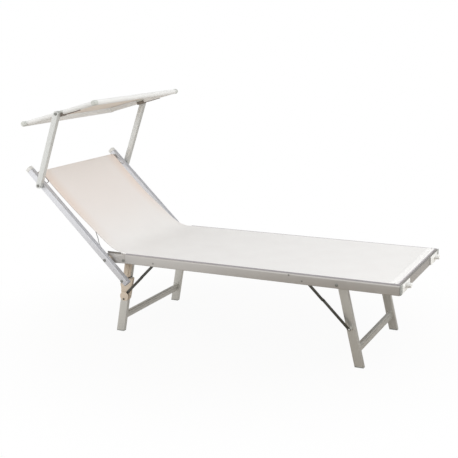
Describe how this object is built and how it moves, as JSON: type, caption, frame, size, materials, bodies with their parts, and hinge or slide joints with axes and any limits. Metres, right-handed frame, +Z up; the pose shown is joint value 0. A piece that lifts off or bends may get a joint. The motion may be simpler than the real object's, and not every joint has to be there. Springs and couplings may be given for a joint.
{
  "type": "sun lounger with canopy",
  "caption": "Folding aluminium sun lounger with sling seat, reclining backrest on notched racks, folding leg frames with stays, and a tilting canopy on swing arms.",
  "frame": {"origin": "centre of the bounding box on the floor plane", "axes": "+X from the head end to the foot end, +Y from the near side to the far side of the picture, +Z up"},
  "size_m": [1.7868, 0.772, 1.0774],
  "materials": {
    "anodised_aluminium": "satin anodised extrusion",
    "bright_aluminium": "satin bright aluminium tube",
    "dark_steel": "dark coated steel strip",
    "zinc_steel": "zinc plated",
    "grey_plastic": "moulded grey plastic",
    "white_plastic": "moulded white plastic",
    "tan_nylon": "moulded tan nylon",
    "dark_plastic": "moulded dark grey plastic",
    "sling_fabric": "woven sling mesh",
    "canopy_cloth": "woven cloth"
  },
  "bodies": {
    "frame": {"side_rail_far": "anodised_aluminium", "side_rail_near": "anodised_aluminium", "foot_crossbar": "anodised_aluminium", "corner_fitting_far": "white_plastic", "corner_fitting_near": "white_plastic", "hinge_bracket_far": "dark_plastic", "hinge_bracket_near": "dark_plastic", "front_leg_bolt_far": "zinc_steel", "front_leg_bolt_near": "zinc_steel", "rear_leg_bolt_far": "zinc_steel", "rear_leg_bolt_near": "zinc_steel", "seat_sling": "sling_fabric"},
    "backrest": {"backrest_rail_far": "anodised_aluminium", "backrest_rail_near": "anodised_aluminium", "backrest_top_cap_far": "white_plastic", "backrest_top_cap_near": "white_plastic", "backrest_bottom_cap_far": "grey_plastic", "backrest_bottom_cap_near": "grey_plastic", "head_crossbar": "anodised_aluminium", "latch_pin_far": "zinc_steel", "latch_pin_near": "zinc_steel", "backrest_pivot_bolt_far": "zinc_steel", "backrest_pivot_bolt_near": "zinc_steel", "back_sling": "sling_fabric"},
    "canopy_arms": {"canopy_arm_far": "bright_aluminium", "canopy_arm_near": "bright_aluminium", "arm_lower_bolt_far": "zinc_steel", "arm_lower_bolt_near": "zinc_steel", "arm_upper_bolt_far": "zinc_steel", "arm_upper_bolt_near": "zinc_steel"},
    "canopy_panel": {"canopy_side_bar_far": "bright_aluminium", "canopy_side_bar_near": "bright_aluminium", "canopy_front_elbow_far": "grey_plastic", "canopy_front_elbow_near": "grey_plastic", "canopy_rear_elbow_far": "grey_plastic", "canopy_rear_elbow_near": "grey_plastic", "canopy_clamp_far": "dark_plastic", "canopy_clamp_near": "dark_plastic", "canopy_front_bar": "bright_aluminium", "canopy_rear_bar": "bright_aluminium", "canopy_fabric": "canopy_cloth"},
    "front_legs": {"front_leg_frame": "anodised_aluminium", "front_foot_far": "grey_plastic", "front_foot_near": "grey_plastic", "front_stretcher": "anodised_aluminium"},
    "rear_legs": {"rear_leg_frame": "anodised_aluminium", "rear_foot_far": "grey_plastic", "rear_foot_near": "grey_plastic", "rear_stretcher": "anodised_aluminium", "rear_rack_far": "tan_nylon", "rear_rack_near": "tan_nylon"},
    "front_stay_upper": {"front_stay_upper_far": "dark_steel", "front_stay_upper_near": "dark_steel"},
    "front_stay_lower": {"front_stay_lower_far": "dark_steel", "front_stay_lower_near": "dark_steel"},
    "rear_stay_upper": {"rear_stay_upper_far": "dark_steel", "rear_stay_upper_near": "dark_steel"},
    "rear_stay_lower": {"rear_stay_lower_far": "dark_steel", "rear_stay_lower_near": "dark_steel"}
  },
  "joints": [
    {"name": "backrest_recline", "type": "hinge", "parent": "frame", "child": "backrest", "pos_m": [-0.4789, 0, 0.36], "axis": [0, 1, 0], "range_deg": [-36, 27]},
    {"name": "canopy_arm_swing", "type": "hinge", "parent": "backrest", "child": "canopy_arms", "pos_m": [-0.80701, 0, 0.68242], "axis": [0, 1, 0], "range_deg": [-20, 70]},
    {"name": "canopy_tilt", "type": "hinge", "parent": "canopy_arms", "child": "canopy_panel", "pos_m": [-0.68812, 0, 1.01267], "axis": [0, 1, 0], "range_deg": [-40, 45]},
    {"name": "front_leg_fold", "type": "hinge", "parent": "frame", "child": "front_legs", "pos_m": [0.60811, 0, 0.361], "axis": [0, 1, 0], "range_deg": [0, 98]},
    {"name": "rear_leg_fold", "type": "hinge", "parent": "frame", "child": "rear_legs", "pos_m": [-0.4019, 0, 0.359], "axis": [0, -1, 0], "range_deg": [0, 86]},
    {"name": "front_stay_upper_fold", "type": "hinge", "parent": "frame", "child": "front_stay_upper", "pos_m": [0.4581, 0, 0.36], "axis": [0, 1, 0], "range_deg": [-45.16, 0.5]},
    {"name": "front_stay_lower_fold", "type": "hinge", "parent": "front_legs", "child": "front_stay_lower", "pos_m": [0.65321, 0, 0.16718], "axis": [0, 1, 0], "range_deg": [-0.5, 31.91]},
    {"name": "rear_stay_upper_fold", "type": "hinge", "parent": "frame", "child": "rear_stay_upper", "pos_m": [-0.2469, 0, 0.36], "axis": [0, -1, 0], "range_deg": [-45.65, 0.5]},
    {"name": "rear_stay_lower_fold", "type": "hinge", "parent": "rear_legs", "child": "rear_stay_lower", "pos_m": [-0.43674, 0, 0.16917], "axis": [0, -1, 0], "range_deg": [-0.5, 30.87]}
  ],
  "couplings": [
    {"joint": "front_stay_upper_fold", "follows": "front_leg_fold", "ratio": -0.45574},
    {"joint": "front_stay_lower_fold", "follows": "front_leg_fold", "ratio": 0.32054},
    {"joint": "rear_stay_upper_fold", "follows": "rear_leg_fold", "ratio": -0.52499},
    {"joint": "rear_stay_lower_fold", "follows": "rear_leg_fold", "ratio": 0.3531}
  ]
}
